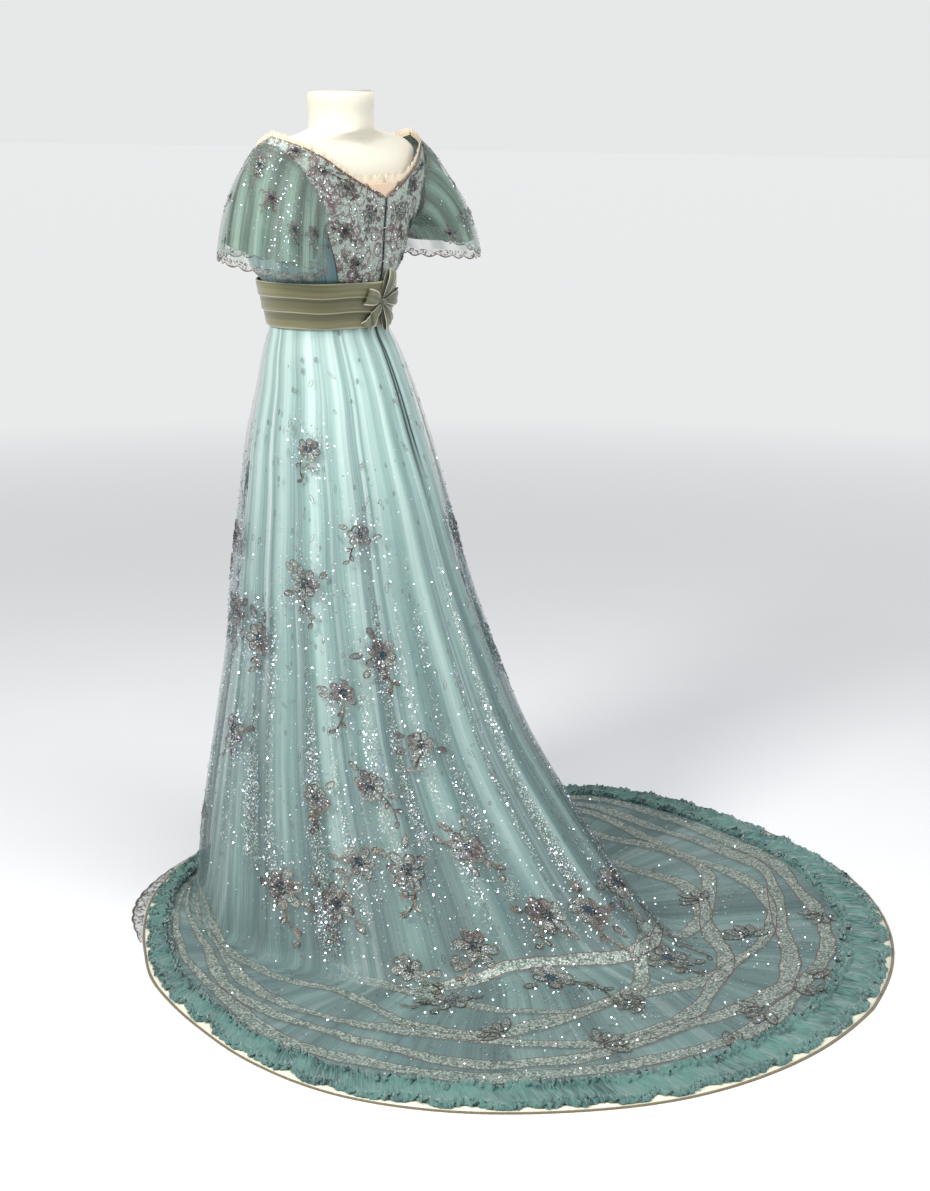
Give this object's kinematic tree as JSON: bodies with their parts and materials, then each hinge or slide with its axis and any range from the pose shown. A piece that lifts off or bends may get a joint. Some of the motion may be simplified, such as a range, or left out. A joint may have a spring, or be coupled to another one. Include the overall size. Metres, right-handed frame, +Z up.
{
  "type": "ball gown on dress form",
  "caption": "Trained ball gown with short double sleeves, a folded sash with a bow and a ruched hem, standing on a limbless dress form with a round base.",
  "frame": {"origin": "on the floor at the centre of the stand's base, under the axis of the form's neck", "axes": "+Z up, -Y the way the wearer faces, +Y along the train, +X to the wearer's left"},
  "size_m": [1.4051, 1.3728, 1.45],
  "materials": {
    "form_cover": "cream, matt",
    "stand_metal": "dark satin",
    "skirt_silk": "pale blue-green satin",
    "skirt_net": "fine net with sequins and metal thread",
    "bodice_net": "beaded and embroidered net on silk",
    "side_silk": "gathered silk, soft sheen",
    "sleeve_chiffon": "gathered chiffon, matt",
    "sleeve_lace": "metal-thread lace with sequins",
    "flounce_chiffon": "ruched chiffon, matt",
    "cream_lace": "cotton lace, matt",
    "sash_satin": "olive satin",
    "brush_braid": "brown wool braid, matt"
  },
  "bodies": {
    "root": {"dress_form": "form_cover", "stand_pole": "stand_metal", "stand_base": "stand_metal", "silk_skirt_back_left": "skirt_silk", "silk_skirt_side_left": "skirt_silk", "silk_skirt_front": "skirt_silk", "silk_skirt_side_right": "skirt_silk", "silk_skirt_back_right": "skirt_silk", "net_skirt_back_left": "skirt_net", "net_skirt_side_left": "skirt_net", "net_skirt_front": "skirt_net", "net_skirt_side_right": "skirt_net", "net_skirt_back_right": "skirt_net", "net_border_left": "skirt_net", "net_border_right": "skirt_net", "hem_flounce_back_left": "flounce_chiffon", "hem_flounce_front_left": "flounce_chiffon", "hem_flounce_front_right": "flounce_chiffon", "hem_flounce_back_right": "flounce_chiffon", "brush_braid_left": "brush_braid", "brush_braid_right": "brush_braid", "bodice_back_left": "bodice_net", "bodice_back_right": "bodice_net", "bodice_front_left": "bodice_net", "bodice_front_right": "bodice_net", "bodice_side_left": "side_silk", "bodice_side_right": "side_silk", "chemisette": "cream_lace", "neck_lace_back_left": "cream_lace", "neck_lace_back_right": "cream_lace", "neck_lace_front_left": "cream_lace", "neck_lace_front_right": "cream_lace", "net_sleeve_left": "skirt_net", "net_sleeve_right": "skirt_net", "chiffon_sleeve_left": "sleeve_chiffon", "chiffon_sleeve_right": "sleeve_chiffon", "sleeve_lace_left_back": "sleeve_lace", "sleeve_lace_right_back": "sleeve_lace", "sleeve_lace_left_front": "sleeve_lace", "sleeve_lace_right_front": "sleeve_lace", "sash": "sash_satin", "bow_knot": "sash_satin", "bow_loop_up": "sash_satin", "bow_loop_right": "sash_satin", "bow_loop_low": "sash_satin", "bow_loop_left": "sash_satin", "bow_tail": "sash_satin"}
  },
  "joints": []
}
